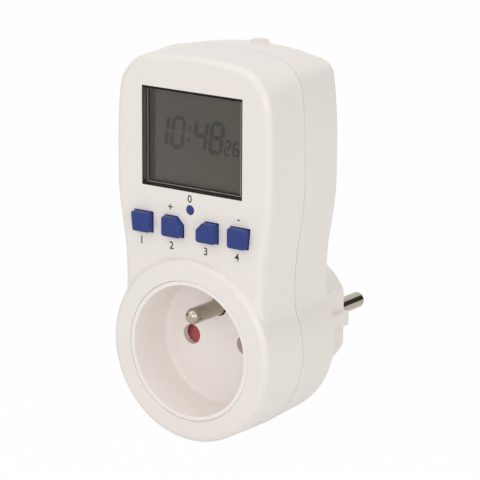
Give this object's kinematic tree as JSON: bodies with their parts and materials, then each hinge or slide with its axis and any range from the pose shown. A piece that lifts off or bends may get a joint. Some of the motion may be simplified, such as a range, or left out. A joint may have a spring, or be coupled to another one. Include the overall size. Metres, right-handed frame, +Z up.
{
  "type": "plug-in timer switch",
  "caption": "Plug-in digital timer switch: white two-shell case, display window, blue keys, earthed socket with safety shutter in front and round-pin plug behind.",
  "frame": {"origin": "middle of the plug's flat end face, halfway between the two pins", "axes": "+Y into the wall along the pins, +Z up towards the display, +X to the right seen from the front"},
  "size_m": [0.0548, 0.0759, 0.1135],
  "materials": {
    "case_white": "fine satin moulded plastic, warm white",
    "inner_plastic": "plain moulded plastic",
    "key_blue": "satin royal blue moulded plastic",
    "shutter_red": "satin red moulded plastic",
    "pin_nickel": "nickel plated brass, bright with fine turning marks",
    "spring_brass": "rolled brass strip",
    "steel": "zinc plated steel",
    "window_clear": "clear polished plastic",
    "lcd_grey": "olive grey liquid crystal cell",
    "frame_dark": "dark moulded plastic",
    "rubber_grey": "grey silicone rubber",
    "board_green": "green solder mask on glass fibre board",
    "relay_blue": "blue moulded plastic",
    "coil_copper": "enamelled copper winding",
    "capacitor_yellow": "yellow cast box",
    "capacitor_black": "shrunk sleeve"
  },
  "bodies": {
    "casing": {"front_cover": "case_white", "rear_cover": "case_white", "socket_insert": "case_white", "shutter_retainer": "inner_plastic", "retainer_screws": "steel", "shutter_spring": "steel", "earth_pin": "pin_nickel", "earth_bar": "spring_brass", "earth_sleeve": "spring_brass", "earth_clips": "spring_brass", "live_contact": "spring_brass", "neutral_contact": "spring_brass", "contact_block": "inner_plastic", "live_in_bar": "spring_brass", "live_out_bar": "spring_brass", "neutral_bar": "spring_brass", "plug_pin_live": "pin_nickel", "plug_pin_neutral": "pin_nickel", "pin_carrier": "inner_plastic", "carrier_screws": "steel", "display_window": "window_clear", "lcd_frame": "frame_dark", "lcd_glass": "lcd_grey", "contact_strips": "rubber_grey", "control_board": "board_green", "controller_chip": "frame_dark", "quartz_crystal": "steel", "backup_battery": "steel", "battery_tabs": "steel", "board_screws": "steel", "board_link": "frame_dark", "power_board": "board_green", "power_board_screws": "steel", "relay_base": "inner_plastic", "relay_case": "relay_blue", "relay_coil": "coil_copper", "relay_yoke": "steel", "dropper_capacitor": "capacitor_yellow", "smoothing_capacitor": "capacitor_black", "varistor": "relay_blue", "rectifier_diodes": "frame_dark", "reset_dome": "rubber_grey", "dome_outer_left": "rubber_grey", "dome_inner_left": "rubber_grey", "dome_inner_right": "rubber_grey", "dome_outer_right": "rubber_grey", "case_screws": "steel"},
    "shutter": {"shutter": "shutter_red"},
    "relay_armature": {"relay_armature": "steel"},
    "reset_key": {"reset_key": "key_blue"},
    "key_outer_left": {"key_outer_left": "key_blue"},
    "key_inner_left": {"key_inner_left": "key_blue"},
    "key_inner_right": {"key_inner_right": "key_blue"},
    "key_outer_right": {"key_outer_right": "key_blue"}
  },
  "joints": [
    {"name": "key_outer_left_press", "type": "slide", "parent": "casing", "child": "key_outer_left", "axis": [0, 1, 0], "range_m": [0, 0.0008], "stiffness_N_per_m": 900, "springref_m": -0.0003, "deforming": ["dome_outer_left"]},
    {"name": "key_inner_left_press", "type": "slide", "parent": "casing", "child": "key_inner_left", "axis": [0, 1, 0], "range_m": [0, 0.0008], "stiffness_N_per_m": 900, "springref_m": -0.0003, "deforming": ["dome_inner_left"]},
    {"name": "key_inner_right_press", "type": "slide", "parent": "casing", "child": "key_inner_right", "axis": [0, 1, 0], "range_m": [0, 0.0008], "stiffness_N_per_m": 900, "springref_m": -0.0003, "deforming": ["dome_inner_right"]},
    {"name": "key_outer_right_press", "type": "slide", "parent": "casing", "child": "key_outer_right", "axis": [0, 1, 0], "range_m": [0, 0.0008], "stiffness_N_per_m": 900, "springref_m": -0.0003, "deforming": ["dome_outer_right"]},
    {"name": "reset_key_press", "type": "slide", "parent": "casing", "child": "reset_key", "axis": [0, 1, 0], "range_m": [0, 0.0005], "stiffness_N_per_m": 900, "springref_m": -0.0003, "deforming": ["reset_dome"]},
    {"name": "shutter_slide", "type": "slide", "parent": "casing", "child": "shutter", "axis": [0, 0, -1], "range_m": [0, 0.0066], "stiffness_N_per_m": 90, "springref_m": -0.003, "deforming": ["shutter_spring"]},
    {"name": "relay_armature_tip", "type": "hinge", "parent": "casing", "child": "relay_armature", "pos_m": [-0.00905, -0.0391, 0.067], "axis": [1, 0, 0], "range_deg": [0, 3], "stiffness_Nm_per_rad": 0.01, "springref_deg": -5.73}
  ]
}
